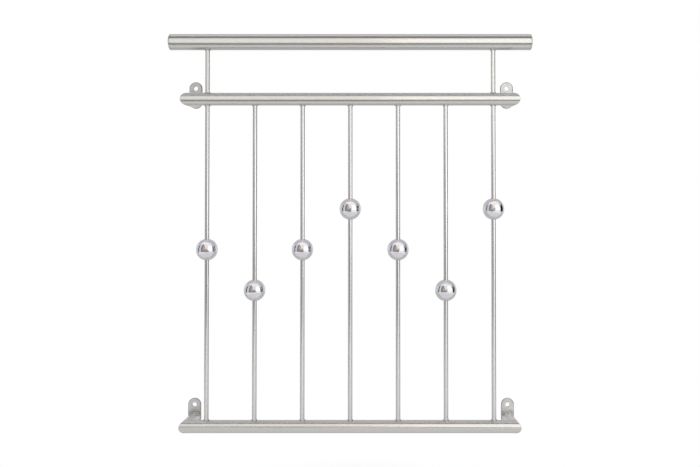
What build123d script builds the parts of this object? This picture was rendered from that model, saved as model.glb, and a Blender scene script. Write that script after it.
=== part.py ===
from build123d import *
import os
from math import cos, radians, sin, tan

# Juliet balcony railing in stainless steel tube, in millimetres.
# +X runs along the rails, +Y points into the wall, +Z is up.
# The origin is on the wall face of the lower left lug, level with the axis of the lower rail.

# Tubes, bars and balls
HANDRAIL_OD = 42.4
RAIL_OD = 33.7
TUBE_WALL = 2.0
BAR_D = 12.0
BALL_D = 57.0
BALL_WALL = 1.5

# Overall layout: the returns lean towards each other by a few degrees on their way to the wall
LUG_SPACING = 855.0
HANDRAIL_LENGTH = 964.0
RAIL_SPACING = 865.0
HANDRAIL_RISE = 152.0
STANDOFF = 80.0
RETURN_LEAN = 2.8
BAR_PITCH = 126.5
BAR_COUNT = 7
BAR_INSET = 3.0

# Balls: the height of the middle row above the lower rail, the step between rows,
# and how many steps each ball lies from the middle row, from left to right
BALL_MIDDLE_HEIGHT = 466.0
BALL_STEP = 107.5
BALL_STEPS = (0, -1, 0, 1, 0, -1, 1)

# Fixing lugs
LUG_WIDTH = 35.0
LUG_THICKNESS = 5.0
LUG_HOLE_D = 12.0
LUG_HOLE_RISE = 38.0
LUG_EDGE_BREAK = 1.5

# Handrail end caps
CAP_LAND = 1.0
CAP_RIM_RADIUS = 4.0
CAP_DOME = 0.5
CAP_THICKNESS = 2.5
SPIGOT_LENGTH = 14.0
SPIGOT_WALL = 2.0

# Worked out from the driving dimensions
HANDRAIL_R = HANDRAIL_OD / 2
RAIL_R = RAIL_OD / 2
BAR_R = BAR_D / 2
BALL_R = BALL_D / 2
CENTRE_X = LUG_SPACING / 2
CORNER_OVERHANG = (STANDOFF - LUG_THICKNESS) * tan(radians(RETURN_LEAN))
FRONT_Y = -STANDOFF
HANDRAIL_Z = RAIL_SPACING + HANDRAIL_RISE
CAP_HEAD = CAP_LAND + CAP_RIM_RADIUS + CAP_DOME
HANDRAIL_TUBE_LENGTH = HANDRAIL_LENGTH - 2 * CAP_HEAD
BAR_X = [CENTRE_X + BAR_PITCH * (i - (BAR_COUNT - 1) / 2) for i in range(BAR_COUNT)]
OUTER_BARS = (0, BAR_COUNT - 1)
LEVELS = {"lower": 0.0, "upper": RAIL_SPACING}
LUG_X = {"left": 0.0, "right": LUG_SPACING}
CORNER_X = {"left": -CORNER_OVERHANG, "right": LUG_SPACING + CORNER_OVERHANG}
INWARD = {"left": 1, "right": -1}
SIDES = tuple(LUG_X)


def tube(plane, outer_r, length):
    """Round tube that starts on the plane and runs along its normal."""
    section = Circle(outer_r) - Circle(outer_r - TUBE_WALL)
    return extrude(plane * section, length)


def drill(x, z_low, z_high):
    """Upright cutter of one bar's diameter."""
    plane = Plane(origin=(x, FRONT_Y, z_low))
    return extrude(plane * Circle(BAR_R), z_high - z_low)


def return_direction(side):
    """Unit vector along a return, from its corner to the wall."""
    lean = radians(RETURN_LEAN)
    return Vector(INWARD[side] * sin(lean), cos(lean), 0)


def mitre_plane(side, z):
    """Plane that halves the angle between rail and return, with its normal on the rail's side."""
    normal = Vector(INWARD[side], 0, 0) - return_direction(side)
    return Plane(origin=(CORNER_X[side], FRONT_Y, z), z_dir=normal)


def make_rail(level):
    """Rail tube with mitred ends and a hole for each bar."""
    z = LEVELS[level]
    overlong = CORNER_OVERHANG + RAIL_OD
    start = Plane(origin=(-overlong, FRONT_Y, z), x_dir=(0, 1, 0), z_dir=(1, 0, 0))
    rail = tube(start, RAIL_R, LUG_SPACING + 2 * overlong)
    for side in SIDES:
        rail = split(rail, bisect_by=mitre_plane(side, z), keep=Keep.TOP)
    for i in range(BAR_COUNT):
        through = level == "upper" and i in OUTER_BARS
        z_low = z if level == "lower" else z - RAIL_R
        z_high = z + RAIL_R if level == "lower" or through else z
        rail -= drill(BAR_X[i], z_low, z_high)
    return rail


def make_return(level, side):
    """Short tube from the mitred corner back to the lug, where its end is cut in the plane of the wall."""
    z = LEVELS[level]
    along = return_direction(side)
    corner = Vector(CORNER_X[side], FRONT_Y, z)
    start = Plane(origin=corner - along * RAIL_OD, z_dir=along)
    piece = tube(start, RAIL_R, STANDOFF + 2 * RAIL_OD)
    piece = split(piece, bisect_by=mitre_plane(side, z), keep=Keep.BOTTOM)
    lug_front = Plane(origin=(0, -LUG_THICKNESS, 0), z_dir=(0, 1, 0))
    return split(piece, bisect_by=lug_front, keep=Keep.BOTTOM)


def make_lug(level, side):
    """Round-ended plate against the wall, concentric with the return at its lower end."""
    wall = Plane(origin=(LUG_X[side], 0, LEVELS[level]), x_dir=(1, 0, 0), z_dir=(0, -1, 0))
    outline = Pos(0, LUG_HOLE_RISE / 2) * SlotCenterToCenter(LUG_HOLE_RISE, LUG_WIDTH, rotation=90)
    plate = extrude(wall * outline, LUG_THICKNESS)
    front = plate.faces().sort_by(Axis.Y)[0]
    plate = chamfer(front.edges(), LUG_EDGE_BREAK)
    hole = wall * Pos(0, LUG_HOLE_RISE) * Circle(LUG_HOLE_D / 2)
    return plate - extrude(hole, LUG_THICKNESS)


def make_handrail():
    """Straight top tube with a hole below for each of the two bars that carry it."""
    x = CENTRE_X - HANDRAIL_TUBE_LENGTH / 2
    start = Plane(origin=(x, FRONT_Y, HANDRAIL_Z), x_dir=(0, 1, 0), z_dir=(1, 0, 0))
    rail = tube(start, HANDRAIL_R, HANDRAIL_TUBE_LENGTH)
    for i in OUTER_BARS:
        rail -= drill(BAR_X[i], HANDRAIL_Z - HANDRAIL_R, HANDRAIL_Z)
    return rail


def make_cap(side):
    """Pressed-in end cap: a hollow spigot inside the tube and a domed head with a round rim."""
    bore_r = HANDRAIL_R - TUBE_WALL
    cup_r = bore_r - SPIGOT_WALL
    rim_x = CAP_LAND + CAP_RIM_RADIUS
    rim_y = HANDRAIL_R - CAP_RIM_RADIUS
    dome_r = (rim_y ** 2 + CAP_DOME ** 2) / (2 * CAP_DOME)
    half_chord = rim_y / 2
    mid_rise = CAP_DOME - dome_r + (dome_r ** 2 - half_chord ** 2) ** 0.5
    corner = CAP_RIM_RADIUS * 0.5 ** 0.5
    outline = [
        Polyline((CAP_HEAD - CAP_THICKNESS, 0), (CAP_HEAD - CAP_THICKNESS, cup_r), (-SPIGOT_LENGTH, cup_r),
                 (-SPIGOT_LENGTH, bore_r), (0, bore_r), (0, HANDRAIL_R), (CAP_LAND, HANDRAIL_R)),
        ThreePointArc((CAP_LAND, HANDRAIL_R), (CAP_LAND + corner, rim_y + corner), (rim_x, rim_y)),
        ThreePointArc((rim_x, rim_y), (rim_x + mid_rise, half_chord), (CAP_HEAD, 0)),
        Line((CAP_HEAD, 0), (CAP_HEAD - CAP_THICKNESS, 0)),
    ]
    cap = revolve(make_face(outline), axis=Axis.X)
    outward = -INWARD[side]
    seat = Plane(
        origin=(CENTRE_X + outward * HANDRAIL_TUBE_LENGTH / 2, FRONT_Y, HANDRAIL_Z),
        x_dir=(outward, 0, 0),
        z_dir=(0, 0, 1),
    )
    return seat * cap


def make_bar(i):
    """Round bar let a little way into the tubes it is welded to."""
    low = RAIL_R - TUBE_WALL - BAR_INSET
    high = RAIL_SPACING - low
    if i in OUTER_BARS:
        high = HANDRAIL_Z - (HANDRAIL_R - TUBE_WALL - BAR_INSET)
    return drill(BAR_X[i], low, high)


def make_ball(i):
    """Hollow ball of two pressed halves, bored through for its bar."""
    inner_r = BALL_R - BALL_WALL
    outer_h = (BALL_R ** 2 - BAR_R ** 2) ** 0.5
    inner_h = (inner_r ** 2 - BAR_R ** 2) ** 0.5
    outline = [
        ThreePointArc((BAR_R, outer_h), (BALL_R, 0), (BAR_R, -outer_h)),
        Line((BAR_R, -outer_h), (BAR_R, -inner_h)),
        ThreePointArc((BAR_R, -inner_h), (inner_r, 0), (BAR_R, inner_h)),
        Line((BAR_R, inner_h), (BAR_R, outer_h)),
    ]
    ball = revolve(Plane.XZ * make_face(outline), axis=Axis.Z)
    return Pos(BAR_X[i], FRONT_Y, BALL_MIDDLE_HEIGHT + BALL_STEPS[i] * BALL_STEP) * ball


def make_parts():
    """Every piece of the railing, by its node's name."""
    parts = {"handrail": make_handrail()}
    for side in SIDES:
        parts[f"handrail_{side}_cap"] = make_cap(side)
    for level in LEVELS:
        parts[f"{level}_rail"] = make_rail(level)
        for side in SIDES:
            parts[f"{level}_{side}_return"] = make_return(level, side)
            parts[f"{level}_{side}_lug"] = make_lug(level, side)
    for i in range(BAR_COUNT):
        parts[f"bar_{i + 1}"] = make_bar(i)
        parts[f"ball_{i + 1}"] = make_ball(i)
    return parts


os.makedirs("parts", exist_ok=True)
for name, piece in make_parts().items():
    export_step(piece, f"parts/{name}.step")
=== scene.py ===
import bmesh
import bpy
from math import cos, pi, radians, sin, tan
from mathutils import Matrix, Vector


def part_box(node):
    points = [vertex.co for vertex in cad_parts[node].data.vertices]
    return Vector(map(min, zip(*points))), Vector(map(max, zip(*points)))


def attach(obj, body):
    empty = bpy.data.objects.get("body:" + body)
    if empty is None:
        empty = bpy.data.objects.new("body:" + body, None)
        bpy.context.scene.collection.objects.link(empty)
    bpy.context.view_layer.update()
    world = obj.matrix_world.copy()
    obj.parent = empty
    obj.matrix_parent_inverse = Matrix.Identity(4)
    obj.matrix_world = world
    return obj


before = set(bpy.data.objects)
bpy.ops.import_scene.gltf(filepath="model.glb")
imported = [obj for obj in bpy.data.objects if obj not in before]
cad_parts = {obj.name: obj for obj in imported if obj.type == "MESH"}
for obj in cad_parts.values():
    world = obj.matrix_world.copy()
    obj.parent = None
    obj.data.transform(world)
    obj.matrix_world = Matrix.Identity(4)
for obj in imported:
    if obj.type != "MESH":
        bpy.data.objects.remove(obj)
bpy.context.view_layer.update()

# A juliet balcony railing in stainless steel: what the solids lack, the finish of every surface,
# and a plain white studio. Lengths are in metres unless a name says otherwise.

# The photograph's frame and the camera that fits it. The optical axis lies to the right of the
# picture's middle and above it.
IMAGE_WIDTH_PX = 700
SENSOR_MM = 36.0
FOCAL_PX = 811.0
OPTICAL_AXIS_RIGHT_PX = 27.0
OPTICAL_AXIS_UP_PX = 55.0
CAMERA_AT = (0.4984, -2.2308, 0.6156)
CAMERA_PITCH = radians(1.03)

BODY = "root"
LEVELS = ("lower", "upper")
SIDES = ("left", "right")
INWARD = {"left": 1, "right": -1}
BARS = range(1, 8)
OUTER_BARS = (1, 7)
ALONG_X = (1.0, 0.0, 0.0)
ALONG_Z = (0.0, 0.0, 1.0)

# The angle by which each return leans towards the other on its way to the wall
RETURN_LEAN = radians(2.8)


def middle(node):
    """Centre of a node's box."""
    low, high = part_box(node)
    return (low + high) / 2


def half_size(node, axis):
    """Half of a node's size along one axis, which is the radius of a tube, bar or ball."""
    low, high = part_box(node)
    return (high[axis] - low[axis]) / 2


# The railing's own measures, read from the frame
BAR_R = half_size("bar_2", 0)
RAIL_R = half_size("upper_rail", 2)
HANDRAIL_R = half_size("handrail", 2)
LUG_FRONT_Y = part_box("lower_left_lug")[0].y
RAIL_Z = {level: middle(f"{level}_rail").z for level in LEVELS}
HANDRAIL_Z = middle("handrail").z
FRONT_Y = middle("handrail").y
LUG_X = {side: middle(f"lower_{side}_lug").x for side in SIDES}
CENTRE = Vector((middle("handrail").x, FRONT_Y, middle("ball_1").z))


# Shader nodes

def new_material(name):
    """A node material with nothing in it but its output."""
    material = bpy.data.materials.new(name)
    material.use_nodes = True
    tree = material.node_tree
    tree.nodes.clear()
    output = tree.nodes.new("ShaderNodeOutputMaterial")
    return material, tree, output


def add(tree, kind, inputs=None, **settings):
    """Add a node, set its properties, and set or link its inputs by name or number."""
    made = tree.nodes.new(kind)
    for key, value in settings.items():
        setattr(made, key, value)
    for key, value in (inputs or {}).items():
        if isinstance(value, bpy.types.NodeSocket):
            tree.links.new(value, made.inputs[key])
        else:
            made.inputs[key].default_value = value
    return made


def calculate(tree, operation, *values):
    """Result of a math node."""
    return add(tree, "ShaderNodeMath", dict(enumerate(values)), operation=operation).outputs[0]


def object_place(tree):
    """Where a point of the surface lies in its own object, in metres."""
    return add(tree, "ShaderNodeTexCoord").outputs["Object"]


def noise(tree, vector, scale, detail):
    """Smooth noise from 0 to 1 at a number of features per metre."""
    made = add(tree, "ShaderNodeTexNoise", {"Vector": vector, "Scale": scale, "Detail": detail})
    return made.outputs["Fac"]


def ramp(tree, value, start, end, low=0.0, high=1.0, **settings):
    """Turn a value that goes from start to end into one that goes from low to high."""
    inputs = {"Value": value, "From Min": start, "From Max": end, "To Min": low, "To Max": high}
    return add(tree, "ShaderNodeMapRange", inputs, **settings).outputs["Result"]


def smooth_ramp(tree, value, start, end, low=0.0, high=1.0):
    """A ramp that starts and ends gently."""
    return ramp(tree, value, start, end, low, high, interpolation_type="SMOOTHSTEP")


def spread(tree, value, low, high):
    """Spread the middle of a noise's range over low to high."""
    return ramp(tree, value, 0.3, 0.7, low, high)


def blend_colours(tree, factor, first, second):
    """Mix two colours by a factor."""
    made = add(tree, "ShaderNodeMix", {"Factor": factor}, data_type="RGBA")
    for socket, value in ((made.inputs[6], first), (made.inputs[7], second)):
        if isinstance(value, bpy.types.NodeSocket):
            tree.links.new(value, socket)
        else:
            socket.default_value = (*value, 1.0)
    return made.outputs[2]


def coat(tree, output, colour, rough, metallic=1.0, **more):
    """Put a principled shader on the surface. Further inputs are given by their names in lower case."""
    inputs = {"Base Color": colour, "Metallic": metallic, "Roughness": rough}
    inputs.update({key.capitalize(): value for key, value in more.items()})
    shader = add(tree, "ShaderNodeBsdfPrincipled", inputs)
    tree.links.new(shader.outputs[0], output.inputs["Surface"])


# Steel

STEEL_LIGHT = (0.72, 0.71, 0.698)
STEEL_DARK = (0.697, 0.687, 0.677)
STEEL_WARM = (0.72, 0.695, 0.675)
STEEL_COOL = (0.69, 0.69, 0.70)
SATIN_ROUGHNESS = 0.20
RETURN_ROUGHNESS = 0.24
ANISOTROPY = 0.6

# Fine scratches of the satin: how much finer they are across their run, and how uneven they leave it
SCRATCH_STRETCH = 60.0
SCRATCH_ROUGHNESS = 0.01
GROOVE_DEPTH = 0.00002


def satin_steel(name, across, tint, roughness):
    """Ground stainless steel. Its scratches run across an axis, so reflections draw out along it."""
    material, tree, output = new_material(name)
    place = object_place(tree)
    fine = [1.0 + SCRATCH_STRETCH * abs(c) for c in across]
    scratched = add(tree, "ShaderNodeMapping", {"Vector": place, "Scale": fine}).outputs["Vector"]
    scratches = noise(tree, scratched, scale=45.0, detail=4.0)
    clouds = noise(tree, place, scale=7.0, detail=3.0)
    steel = blend_colours(tree, spread(tree, scratches, 0.0, 1.0), STEEL_DARK, STEEL_LIGHT)
    steel = blend_colours(tree, spread(tree, clouds, 0.0, 0.6), steel, tint)
    rough = spread(tree, scratches, roughness - SCRATCH_ROUGHNESS, roughness + SCRATCH_ROUGHNESS)
    inputs = {"Height": scratches, "Strength": 0.03, "Distance": GROOVE_DEPTH}
    grooves = add(tree, "ShaderNodeBump", inputs).outputs["Normal"]
    axis = add(tree, "ShaderNodeCombineXYZ", dict(zip("XYZ", across))).outputs["Vector"]
    coat(tree, output, steel, rough, anisotropic=ANISOTROPY, normal=grooves, tangent=axis)
    return material


# Each plate's painted shade as a share of the steel's, and the painted brightness of its cut edge,
# lighter or darker per lug
PAINTED_LUG_SHADES = {"upper_left_lug": (0.68, 0.20), "upper_right_lug": (0.80, 0.40),
                "lower_left_lug": (1.0, 0.36), "lower_right_lug": (1.0, 0.50)}

# The painted shade and reflection round a lug's weld fades between these distances from the return's
# axis
PAINTED_SHADE_INNER_R = 0.019
PAINTED_SHADE_OUTER_R = 0.030
PAINTED_SHADE_COLOUR = (0.36, 0.355, 0.32)


def painted_shade_round_return(tree, place, clouds, lug):
    """Amount of painted shade and reflection on a lug: full round the weld, and patchy."""
    axis_at = (middle(lug).x, 0.0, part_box(lug)[0].z + half_size(lug, 0))
    offset = add(tree, "ShaderNodeVectorMath", {0: place, 1: axis_at}, operation="SUBTRACT").outputs[0]
    inputs = {0: offset, 1: (1.0, 0.0, 1.0)}
    in_plate = add(tree, "ShaderNodeVectorMath", inputs, operation="MULTIPLY").outputs[0]
    far = add(tree, "ShaderNodeVectorMath", {0: in_plate}, operation="LENGTH").outputs["Value"]
    near = smooth_ramp(tree, far, PAINTED_SHADE_OUTER_R, PAINTED_SHADE_INNER_R)
    return calculate(tree, "MULTIPLY", near, spread(tree, clouds, 0.5, 1.0))


def painted_rim_mask(tree):
    """Mask of the painted shade on a plate's rims: 0 on the flat of a plate, and 1 where the surface
    turns away from it.
    """
    normal = add(tree, "ShaderNodeNewGeometry").outputs["Normal"]
    facing = add(tree, "ShaderNodeSeparateXYZ", {0: normal}).outputs["Y"]
    return ramp(tree, calculate(tree, "ABSOLUTE", facing), 0.95, 0.8)


def plate_steel(lug):
    """Satin plate painted lighter or darker for its lug, with painted shade on its cut edges and painted
    shade and reflection round the return.
    """
    shade, painted_rim_shade = PAINTED_LUG_SHADES[lug]
    material, tree, output = new_material(f"satin_{lug}")
    place = object_place(tree)
    clouds = noise(tree, place, scale=55.0, detail=3.0)
    # The whole plate is painted lighter or darker by its lug's painted shade
    steel = blend_colours(tree, spread(tree, clouds, 0.0, 1.0), [c * shade for c in STEEL_COOL],
                          [c * shade for c in STEEL_LIGHT])
    # Painted shade and reflection of the return, dark grey round the weld
    steel = blend_colours(tree, painted_shade_round_return(tree, place, clouds, lug), steel, PAINTED_SHADE_COLOUR)
    painted_rim_colour = (painted_rim_shade, painted_rim_shade, painted_rim_shade * 0.98)
    # Painted shade on the cut edges
    steel = blend_colours(tree, painted_rim_mask(tree), steel, painted_rim_colour)
    coat(tree, output, steel, spread(tree, clouds, 0.28, 0.33))
    return material


def polished_steel():
    """Mirror-polished steel with the faint waviness and haze of a pressed and buffed ball."""
    material, tree, output = new_material("polished_ball")
    place = object_place(tree)
    waves = noise(tree, place, scale=60.0, detail=1.0)
    haze = noise(tree, place, scale=90.0, detail=4.0)
    steel = blend_colours(tree, spread(tree, haze, 0.0, 1.0), (0.82, 0.81, 0.86), (0.86, 0.85, 0.89))
    inputs = {"Height": waves, "Strength": 0.10, "Distance": 0.0002}
    dents = add(tree, "ShaderNodeBump", inputs).outputs["Normal"]
    coat(tree, output, steel, spread(tree, haze, 0.045, 0.09), normal=dents)
    return material


def weld_steel():
    """Cleaned weld metal: duller and darker than the tubes, with a trace of straw and blue."""
    material, tree, output = new_material("weld_bead")
    place = object_place(tree)
    grain = noise(tree, place, scale=900.0, detail=3.0)
    patches = noise(tree, place, scale=160.0, detail=2.0)
    straw, blue, clean = (0.54, 0.51, 0.47), (0.50, 0.51, 0.53), (0.64, 0.63, 0.61)
    heat = blend_colours(tree, spread(tree, patches, 0.0, 1.0), straw, blue)
    steel = blend_colours(tree, spread(tree, grain, 0.0, 0.6), heat, clean)
    inputs = {"Height": grain, "Strength": 0.25, "Distance": 0.0001}
    pits = add(tree, "ShaderNodeBump", inputs).outputs["Normal"]
    coat(tree, output, steel, spread(tree, grain, 0.32, 0.48), normal=pits)
    return material


def dark_gap():
    """The line of shadow and polish residue in a closed joint."""
    material, tree, output = new_material("joint_line")
    dust = noise(tree, object_place(tree), scale=700.0, detail=2.0)
    colour = blend_colours(tree, spread(tree, dust, 0.0, 1.0), (0.10, 0.10, 0.095),
                           (0.17, 0.165, 0.155))
    coat(tree, output, colour, 0.55, metallic=0.6)
    return material


def return_axis(side):
    """Direction of a return, from its corner to the wall."""
    return (INWARD[side] * sin(RETURN_LEAN), cos(RETURN_LEAN), 0.0)


def dress_frame():
    """Give every CAD node its finish."""
    tube = satin_steel("satin_tube", ALONG_X, STEEL_WARM, SATIN_ROUGHNESS)
    bar = satin_steel("satin_bar", ALONG_Z, STEEL_COOL, SATIN_ROUGHNESS)
    ball = polished_steel()
    finishes = {"handrail": tube, "handrail_left_cap": tube, "handrail_right_cap": tube}
    for side in SIDES:
        piece = satin_steel(f"satin_{side}_return", return_axis(side), STEEL_WARM, RETURN_ROUGHNESS)
        for level in LEVELS:
            finishes[f"{level}_{side}_return"] = piece
            lug = f"{level}_{side}_lug"
            finishes[lug] = plate_steel(lug)
    for level in LEVELS:
        finishes[f"{level}_rail"] = tube
    for i in BARS:
        finishes[f"bar_{i}"] = bar
        finishes[f"ball_{i}"] = ball
    for name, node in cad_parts.items():
        node.data.materials.clear()
        node.data.materials.append(finishes[name])


# Weld beads and joint lines

SECTION_SIDES = 10
RIPPLE_STEPS = 5
RIPPLE_DEPTH = 0.1


def turns(count):
    """Angles spread evenly over a full turn."""
    return [2 * pi * i / count for i in range(count)]


def ripples(count):
    """Share of a bead's full radius along its run: 1 on top of each ripple, less between two."""
    swell = [sin(pi * (i % RIPPLE_STEPS) / RIPPLE_STEPS) for i in range(count * RIPPLE_STEPS)]
    return [1 - RIPPLE_DEPTH + RIPPLE_DEPTH * height for height in swell]


def ring_mesh(mesh, centres, radii, outward, upward):
    """Add one closed bead: round sections along a loop of centres.
    Each section lies in the plane of its own outward direction and the upward one."""
    rings = []
    for centre, radius, out in zip(centres, radii, outward):
        ring = []
        for turn in turns(SECTION_SIDES):
            offset = out * (radius * cos(turn)) + upward * (radius * sin(turn))
            ring.append(mesh.verts.new(centre + offset))
        rings.append(ring)
    for i, ring in enumerate(rings):
        following = rings[(i + 1) % len(rings)]
        for k in range(SECTION_SIDES):
            j = (k + 1) % SECTION_SIDES
            mesh.faces.new((ring[k], ring[j], following[j], following[k]))


def finish_piece(mesh, name, material):
    """Turn a bmesh into a smooth-shaded piece that rides on the railing."""
    bmesh.ops.recalc_face_normals(mesh, faces=mesh.faces)
    for face in mesh.faces:
        face.smooth = True
    data = bpy.data.meshes.new(name)
    mesh.to_mesh(data)
    mesh.free()
    data.materials.append(material)
    piece = bpy.data.objects.new(name, data)
    bpy.context.scene.collection.objects.link(piece)
    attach(piece, BODY)


BAR_BEAD_R = 0.0014
BAR_BEAD_OUT = 0.0006
BAR_BEAD_RIPPLES = 26


def bar_bead(mesh, bar, tube_z, tube_r, upper_side):
    """Bead where a bar meets a tube that runs along X: a ring that follows both round surfaces."""
    x = middle(f"bar_{bar}").x
    swell = ripples(BAR_BEAD_RIPPLES)
    loop_r = BAR_R + BAR_BEAD_OUT
    way = 1 if upper_side else -1
    centres, outward = [], []
    for turn in turns(len(swell)):
        y = loop_r * sin(turn)
        z = way * ((tube_r + BAR_BEAD_OUT) ** 2 - y ** 2) ** 0.5
        centres.append(Vector((x + loop_r * cos(turn), FRONT_Y + y, tube_z + z)))
        outward.append(Vector((cos(turn), sin(turn), 0)))
    radii = [BAR_BEAD_R * share for share in swell]
    ring_mesh(mesh, centres, radii, outward, Vector((0, 0, 1)))


MITRE_RIPPLES = 60
MITRE_OUTER_R = 0.00035
MITRE_INNER_R = 0.0014


def mitre_bead(mesh, level, side):
    """Bead round a mitre: ground to a hairline outside and left standing in the inner corner."""
    rail_low, rail_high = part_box(f"{level}_rail")
    tip_x = rail_low.x if side == "left" else rail_high.x
    normal = Vector((INWARD[side], 0, 0)) - Vector(return_axis(side))
    slope = -normal.y / normal.x
    corner_x = tip_x + slope * RAIL_R
    swell = ripples(MITRE_RIPPLES)
    centres, radii, outward = [], [], []
    for turn, share in zip(turns(len(swell)), swell):
        out = Vector((0, cos(turn), sin(turn)))
        x = corner_x + slope * RAIL_R * out.y
        centres.append(Vector((x, FRONT_Y, RAIL_Z[level])) + out * RAIL_R)
        inner = max(0.0, cos(turn)) ** 2
        radii.append((MITRE_OUTER_R + (MITRE_INNER_R - MITRE_OUTER_R) * inner) * share)
        outward.append(out)
    ring_mesh(mesh, centres, radii, outward, Vector((INWARD[side], 0, 0)))


LUG_RIPPLES = 58
LUG_BEAD_R = 0.0008
LUG_BEAD_TOP_R = 0.0016


def lug_bead(mesh, level, side):
    """Bead where a return meets its lug: slim where the plate ends with the tube, full above it."""
    swell = ripples(LUG_RIPPLES)
    centres, radii, outward = [], [], []
    for turn, share in zip(turns(len(swell)), swell):
        out = Vector((cos(turn), 0, sin(turn)))
        centres.append(Vector((LUG_X[side], LUG_FRONT_Y, RAIL_Z[level])) + out * RAIL_R)
        top = max(0.0, sin(turn)) ** 1.5
        radii.append((LUG_BEAD_R + (LUG_BEAD_TOP_R - LUG_BEAD_R) * top) * share)
        outward.append(out)
    ring_mesh(mesh, centres, radii, outward, Vector((0, 1, 0)))


SEAM_R = 0.00018
SEAM_STEPS = 96


def seam(mesh, centre, radius, axis):
    """Hairline ring round an axis."""
    side = Vector(axis).orthogonal().normalized()
    other = Vector(axis).cross(side)
    outward = [side * cos(turn) + other * sin(turn) for turn in turns(SEAM_STEPS)]
    centres = [centre + out * radius for out in outward]
    ring_mesh(mesh, centres, [SEAM_R] * SEAM_STEPS, outward, Vector(axis))


def add_welds():
    """Every weld bead, in one piece for each tube and each kind of joint."""
    weld = weld_steel()
    for level in LEVELS:
        mesh = bmesh.new()
        for i in BARS:
            bar_bead(mesh, i, RAIL_Z[level], RAIL_R, level == "lower")
        if level == "upper":
            for i in OUTER_BARS:
                bar_bead(mesh, i, RAIL_Z[level], RAIL_R, True)
        finish_piece(mesh, f"{level}_rail_bar_welds", weld)
    mesh = bmesh.new()
    for i in OUTER_BARS:
        bar_bead(mesh, i, HANDRAIL_Z, HANDRAIL_R, False)
    finish_piece(mesh, "handrail_bar_welds", weld)
    for side in SIDES:
        for level in LEVELS:
            mesh = bmesh.new()
            mitre_bead(mesh, level, side)
            finish_piece(mesh, f"{level}_{side}_mitre_weld", weld)
            mesh = bmesh.new()
            lug_bead(mesh, level, side)
            finish_piece(mesh, f"{level}_{side}_lug_weld", weld)


def add_seams():
    """Joint lines of the handrail's caps, and of each ball round its bar."""
    gap = dark_gap()
    mesh = bmesh.new()
    low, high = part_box("handrail")
    for x in (low.x, high.x):
        seam(mesh, Vector((x, FRONT_Y, HANDRAIL_Z)), HANDRAIL_R, ALONG_X)
    finish_piece(mesh, "handrail_cap_seams", gap)
    mesh = bmesh.new()
    for i in BARS:
        ball_r = half_size(f"ball_{i}", 0)
        reach = (ball_r ** 2 - BAR_R ** 2) ** 0.5
        for way in (-1, 1):
            seam(mesh, middle(f"ball_{i}") + Vector((0, 0, way * reach)), BAR_R, ALONG_Z)
    finish_piece(mesh, "ball_bar_seams", gap)


# Floor

FLOOR_Z = -0.35
FLOOR_R = 2.3
FLOOR_SIDES = 96

# Where the floor's fade to white starts and ends, from its middle, and the least share of white
FADE_IN_REFLECTIONS = (1.2, 2.3, 0.4)
FADE_FOR_CAMERA = (0.4, 0.85, 0.6)


def pale_floor():
    """A pale floor that takes the shadow and fades to the white of the surroundings."""
    material, tree, output = new_material("pale_floor")
    place = object_place(tree)
    mottle = noise(tree, place, scale=3.0, detail=3.0)
    colour = blend_colours(tree, spread(tree, mottle, 0.0, 1.0), (0.74, 0.735, 0.72),
                           (0.76, 0.755, 0.74))
    paint = add(tree, "ShaderNodeBsdfPrincipled", {"Base Color": colour, "Roughness": 0.9})
    white = add(tree, "ShaderNodeEmission", {"Color": (1, 1, 1, 1), "Strength": 1.0})
    far = add(tree, "ShaderNodeVectorMath", {0: place}, operation="LENGTH").outputs["Value"]
    seen = add(tree, "ShaderNodeLightPath").outputs["Is Camera Ray"]
    fades = [smooth_ramp(tree, far, start, end, low=least)
             for start, end, least in (FADE_IN_REFLECTIONS, FADE_FOR_CAMERA)]
    amount = add(tree, "ShaderNodeMix", {"Factor": seen, 2: fades[0], 3: fades[1]}).outputs[0]
    inputs = {0: amount, 1: paint.outputs[0], 2: white.outputs[0]}
    shader = add(tree, "ShaderNodeMixShader", inputs)
    tree.links.new(shader.outputs[0], output.inputs["Surface"])
    return material


def add_floor():
    """A round floor under the railing."""
    mesh = bmesh.new()
    bmesh.ops.create_circle(mesh, cap_ends=True, radius=FLOOR_R, segments=FLOOR_SIDES)
    data = bpy.data.meshes.new("studio_floor")
    mesh.to_mesh(data)
    mesh.free()
    data.materials.append(pale_floor())
    floor = bpy.data.objects.new("studio_floor", data)
    floor.location = (CENTRE.x, CENTRE.y, FLOOR_Z)
    bpy.context.scene.collection.objects.link(floor)


# Studio boards, which show in reflections alone

SOFT_EDGE = 0.15
CRISP_EDGE = 0.04


def board_material(name, edge):
    """A glowing panel that is clear from behind. Its grey is the object's own colour, and its edges
    fade over a share of its size."""
    material, tree, output = new_material(name)
    parts = add(tree, "ShaderNodeSeparateXYZ", {0: object_place(tree)}).outputs
    back = add(tree, "ShaderNodeNewGeometry").outputs["Backfacing"]
    cover = calculate(tree, "SUBTRACT", 1.0, back)
    for part in parts[:2]:
        from_middle = calculate(tree, "ABSOLUTE", part)
        cover = calculate(tree, "MULTIPLY", cover, smooth_ramp(tree, from_middle, 0.5, 0.5 - edge))
    grey = add(tree, "ShaderNodeObjectInfo").outputs["Color"]
    glow = add(tree, "ShaderNodeEmission", {"Color": grey, "Strength": 1.0})
    clear = add(tree, "ShaderNodeBsdfTransparent")
    inputs = {0: cover, 1: clear.outputs[0], 2: glow.outputs[0]}
    shader = add(tree, "ShaderNodeMixShader", inputs)
    tree.links.new(shader.outputs[0], output.inputs["Surface"])
    return material


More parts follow.
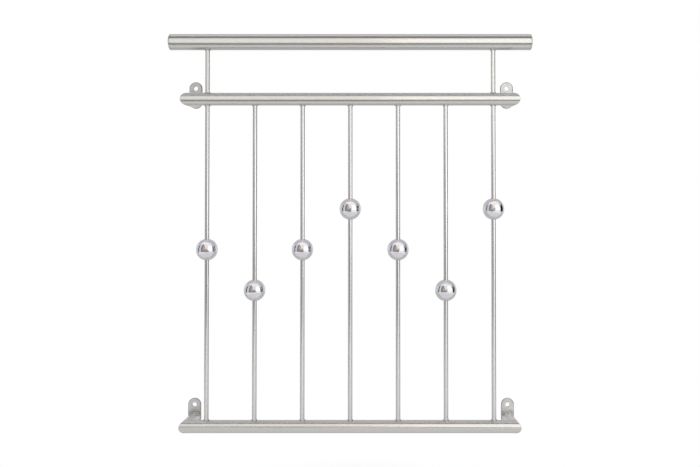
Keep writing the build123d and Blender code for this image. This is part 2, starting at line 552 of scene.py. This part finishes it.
def board(name, material, at, sideways, up, front, grey):
    """A board with its middle at a place and its front towards a point."""
    if sideways.cross(up).dot(front - at) < 0:
        sideways = -sideways
    mesh = bmesh.new()
    bmesh.ops.create_grid(mesh, x_segments=1, y_segments=1, size=0.5)
    data = bpy.data.meshes.new(name)
    mesh.to_mesh(data)
    mesh.free()
    data.materials.append(material)
    made = bpy.data.objects.new(name, data)
    facing = sideways.cross(up).normalized()
    turn = Matrix((sideways.normalized(), up.normalized(), facing)).transposed().to_4x4()
    size = Matrix.Diagonal((sideways.length, up.length, 1, 1))
    made.matrix_world = Matrix.Translation(at) @ turn @ size
    made.color = (*grey, 1.0)
    made.visible_camera = False
    made.visible_diffuse = False
    made.visible_transmission = False
    made.visible_shadow = False
    bpy.context.scene.collection.objects.link(made)


def upright(name, material, first, last, distance, low, high, grey):
    """A board that stands round the railing, between two bearings and two heights.
    A bearing is in degrees from the camera's side, and the right is positive."""
    ends = []
    for bearing in (first, last):
        turn = radians(bearing)
        ends.append(CENTRE + Vector((sin(turn), -cos(turn), 0)) * distance)
    at = (ends[0] + ends[1]) / 2
    at.z = (low + high) / 2
    front = Vector((CENTRE.x, CENTRE.y, at.z))
    board(name, material, at, ends[0] - ends[1], Vector((0, 0, high - low)), front, grey)


def far_upright(name, material, first, last, low, high, grey):
    """A board so far off that all balls show it alike, between two bearings and two elevations."""
    heights = [CENTRE.z + FAR * tan(radians(elevation)) for elevation in (low, high)]
    upright(name, material, first, last, FAR, heights[0], heights[1], grey)


def long_board(name, material, left, right, near, far, front_z, grey):
    """A board along X between two lines, each (y, z), with its front to the railing at a height."""
    way = Vector((0, far[0] - near[0], far[1] - near[1]))
    at = Vector(((left + right) / 2, (near[0] + far[0]) / 2, (near[1] + far[1]) / 2))
    board(name, material, at, Vector((right - left, 0, 0)), way, Vector((at.x, FRONT_Y, front_z)), grey)


def leaf(name, material, left, right, hinge_z, tilt, near, far, grey):
    """A long board in a plane through the bars, so that the balls see only its back or its edge.
    The tilt is in degrees up from level on the camera's side, and near and far are the distances
    from the bars. Its front is to the handrail, or to the lower rail if it hangs below the balls."""
    rise = radians(tilt)
    ends = [(FRONT_Y - reach * cos(rise), hinge_z + reach * sin(rise)) for reach in (near, far)]
    front_z = HANDRAIL_Z if hinge_z > CENTRE.z else RAIL_Z["lower"]
    long_board(name, material, left, right, ends[0], ends[1], front_z, grey)


# The walls of the studio: first and last bearing, height of the top, colour
WALL_DISTANCE = 14.0
WALL_FOOT_Z = -9.0
WALLS = {
    "left_wall": (-135, -62, 16.0, (0.66, 0.66, 0.68)),
    "left_front_wall": (-80, -16, 16.0, (0.76, 0.76, 0.79)),
    "right_wall": (64, 128, 14.0, (0.71, 0.71, 0.72)),
    "back_wall": (120, 240, 16.0, (0.72, 0.72, 0.73)),
}

# What the balls show: first and last bearing, lowest and highest elevation, colour
FAR = 10.0
STAND_COLOUR = (0.11, 0.09, 0.07)
FAR_BOARDS = {
    "left_gap": (-93, -78, -20, 36, (0.02, 0.02, 0.02)),
    "right_gap": (76, 113, -18, 26, (0.0, 0.0, 0.0)),
    "right_gap_top": (94, 122, 16, 44, (0.25, 0.25, 0.25)),
    "dark_group": (-61, -27, -40, 56, (0.28, 0.27, 0.26)),
    "stand_-20": (-24.5, -15.5, -42, 42, STAND_COLOUR),
    "stand_-7": (-11.5, -2.5, -42, 36, STAND_COLOUR),
    "stand_7": (2.5, 11.5, -42, 28, STAND_COLOUR),
    "warm_panel": (-16, 17, 6, 56, (1.0, 0.84, 0.72)),
}
CRISP_FAR_BOARDS = ("right_gap",)

# What the tubes show. Leaves above the balls are hinged on one line, those below on another.
UPPER_HINGE_Z = 0.60
LOWER_HINGE_Z = 0.33
LOWER_LINE_HINGE_Z = 0.325

# The white leaves on each side: left and right end, brightness
BOUNCES = {"left": (-1.5, 0.55, 0.98), "right": (0.45, 4.0, 1.28)}
BOUNCE_NEAR_LEFT = -0.45
BOUNCE_NEAR_RIGHT = 1.7
BOUNCE_OVERLAP = 0.1

# Tilt, near edge, middle where the longer half takes over, far edge
UPPER_BOUNCES = ((3, 0.95, 1.8, 4.0), (12, 0.80, 1.8, 4.0), (25, 0.70, 1.6, 4.0), (45, 0.50, 1.3, 3.2))

# Tilt, near edge, far edge
LOWER_BOUNCES = ((0, 0.55, 4.0), (25, 0.60, 3.2))

# The dark leaves above and below the white ones: tilt, near edge, brightness
DARK_LEFT = -2.5
DARK_RIGHT = 3.5
UPPER_DARK_FAR = 3.4
UPPER_DARKS = ((53, 2.2, 0.60), (58, 1.7, 0.45), (62, 1.4, 0.36), (67, 1.1, 0.35),
               (73, 0.9, 0.15), (78, 0.7, 0.12), (83, 0.6, 0.12), (88, 0.5, 0.15))
LOWER_DARK_FAR = 3.2
LOWER_DARKS = ((60, 0.5, 0.15), (71, 0.5, 0.20), (77, 0.5, 0.30), (83, 0.6, 0.40), (88, 0.6, 0.40))

# Thin grey lines in the highlights of the left half
LINE_LEFT = -2.0
LINE_RIGHT = 0.45
LINE_GREY = (0.45, 0.45, 0.45)

# The grey above and below, behind the railing
REAR_LEFT = -4.0
REAR_RIGHT = 5.0
REAR_FRONT_Z = 0.5


def warm_grey(brightness):
    """A grey with slightly less blue."""
    return (brightness, brightness, brightness * 0.97)


def add_bounces(crisp):
    """White leaves that light the upper sides of the tubes."""
    for name, (left, right, white) in BOUNCES.items():
        grey = warm_grey(white)
        near_left = max(left, BOUNCE_NEAR_LEFT)
        near_right = min(right, BOUNCE_NEAR_RIGHT)
        for tilt, near, split, far in UPPER_BOUNCES:
            leaf(f"{name}_bounce_{tilt}_near", crisp, near_left, near_right, UPPER_HINGE_Z, tilt,
                 near, split, grey)
            leaf(f"{name}_bounce_{tilt}_far", crisp, left, right, UPPER_HINGE_Z, tilt,
                 split - BOUNCE_OVERLAP, far, grey)
        for tilt, near, far in LOWER_BOUNCES:
            leaf(f"{name}_low_bounce_{tilt}", crisp, left, right, LOWER_HINGE_Z, tilt, near, far, grey)


def add_boards():
    """Walls, dark boards and white leaves that draw the bands in the steel."""
    soft = board_material("soft_board", SOFT_EDGE)
    crisp = board_material("crisp_board", CRISP_EDGE)
    for name, (first, last, top_z, grey) in WALLS.items():
        upright(name, soft, first, last, WALL_DISTANCE, WALL_FOOT_Z, top_z, grey)
    for name, (first, last, low, high, grey) in FAR_BOARDS.items():
        material = crisp if name in CRISP_FAR_BOARDS else soft
        far_upright(name, material, first, last, low, high, grey)
    long_board("low_flag", soft, -1.4, 0.8, (-0.78, 0.11), (-1.73, 0.48), HANDRAIL_Z, (0.30, 0.29, 0.27))
    leaf("front_leaf", soft, DARK_LEFT, DARK_RIGHT, UPPER_HINGE_Z, -10, 0.28, 2.9, (0.34, 0.34, 0.32))
    add_bounces(crisp)
    leaf("high_line", soft, LINE_LEFT, LINE_RIGHT, UPPER_HINGE_Z, 38, 0.88, 1.02, LINE_GREY)
    leaf("low_line", soft, LINE_LEFT, LINE_RIGHT, LOWER_LINE_HINGE_Z, 0, 0.98, 1.20, LINE_GREY)
    long_board("rear_sky", soft, REAR_LEFT, REAR_RIGHT, (0.0, 3.6), (4.0, 1.5), REAR_FRONT_Z,
               (0.56, 0.56, 0.56))
    long_board("rear_low", soft, REAR_LEFT, REAR_RIGHT, (-0.2, -0.34), (2.8, -0.34), REAR_FRONT_Z,
               (0.55, 0.55, 0.54))
    for tilt, near, dark in UPPER_DARKS:
        leaf(f"high_leaf_{tilt}", crisp, DARK_LEFT, DARK_RIGHT, UPPER_HINGE_Z, tilt,
             near, UPPER_DARK_FAR, warm_grey(dark))
    for tilt, near, dark in LOWER_DARKS:
        leaf(f"low_leaf_{tilt}", crisp, DARK_LEFT, DARK_RIGHT, LOWER_HINGE_Z, tilt,
             near, LOWER_DARK_FAR, warm_grey(dark))


# Lamps, surroundings and camera

KEY_AT = (2.7, -2.5, 1.5)
BAR_FILL_AT = (-0.1, -4.2, -0.19)


def add_lamp(name, at, target, width, height, radiance, colour):
    """A rectangular soft box aimed at a point, by the brightness of its face."""
    light = bpy.data.lights.new(name, "AREA")
    light.shape = "RECTANGLE"
    light.size = width
    light.size_y = height
    light.energy = radiance * width * height * pi
    light.color = colour
    lamp = bpy.data.objects.new(name, light)
    lamp.location = at
    lamp.rotation_euler = (Vector(target) - Vector(at)).to_track_quat("-Z", "Y").to_euler()
    lamp.visible_camera = False
    bpy.context.scene.collection.objects.link(lamp)
    return lamp


def add_bar_fill():
    """A dim wide box that lights the bars alone, which would mirror too much of the dark stands."""
    bars = bpy.data.collections.new("satin_bars")
    for i in BARS:
        bars.objects.link(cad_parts[f"bar_{i}"])
    at, target = BAR_FILL_AT, (BAR_FILL_AT[0], 0, BAR_FILL_AT[2])
    fill = add_lamp("bar_fill", at, target, width=5.2, height=1.6, radiance=0.45, colour=(1.0, 1.0, 1.0))
    fill.light_linking.receiver_collection = bars


def add_world():
    """White surroundings: full for the camera and in reflections, less as light on matt surfaces."""
    world = bpy.data.worlds.new("white_studio")
    world.use_nodes = True
    tree = world.node_tree
    tree.nodes.clear()
    output = tree.nodes.new("ShaderNodeOutputWorld")
    path = add(tree, "ShaderNodeLightPath").outputs
    seen = calculate(tree, "MAXIMUM", path["Is Camera Ray"], path["Is Glossy Ray"])
    seen = calculate(tree, "MAXIMUM", seen, path["Is Transmission Ray"])
    strength = ramp(tree, seen, 0.0, 1.0, low=0.65)
    shade = add(tree, "ShaderNodeBackground", {"Color": (1, 1, 1, 1), "Strength": strength})
    tree.links.new(shade.outputs[0], output.inputs["Surface"])
    bpy.context.scene.world = world


def add_camera():
    """The photograph's viewpoint."""
    data = bpy.data.cameras.new("camera")
    data.sensor_width = SENSOR_MM
    data.lens = FOCAL_PX * SENSOR_MM / IMAGE_WIDTH_PX
    data.shift_x = -OPTICAL_AXIS_RIGHT_PX / IMAGE_WIDTH_PX
    data.shift_y = -OPTICAL_AXIS_UP_PX / IMAGE_WIDTH_PX
    camera = bpy.data.objects.new("camera", data)
    camera.location = CAMERA_AT
    camera.rotation_euler = (pi / 2 + CAMERA_PITCH, 0, 0)
    bpy.context.scene.collection.objects.link(camera)
    bpy.context.scene.camera = camera


dress_frame()
add_welds()
add_seams()
add_floor()
add_boards()
add_lamp("key_softbox", at=KEY_AT, target=CENTRE, width=2.0, height=2.6, radiance=1.14,
         colour=(1.0, 0.99, 0.98))
add_bar_fill()
add_world()
add_camera()
bpy.context.scene.view_settings.view_transform = "Standard"
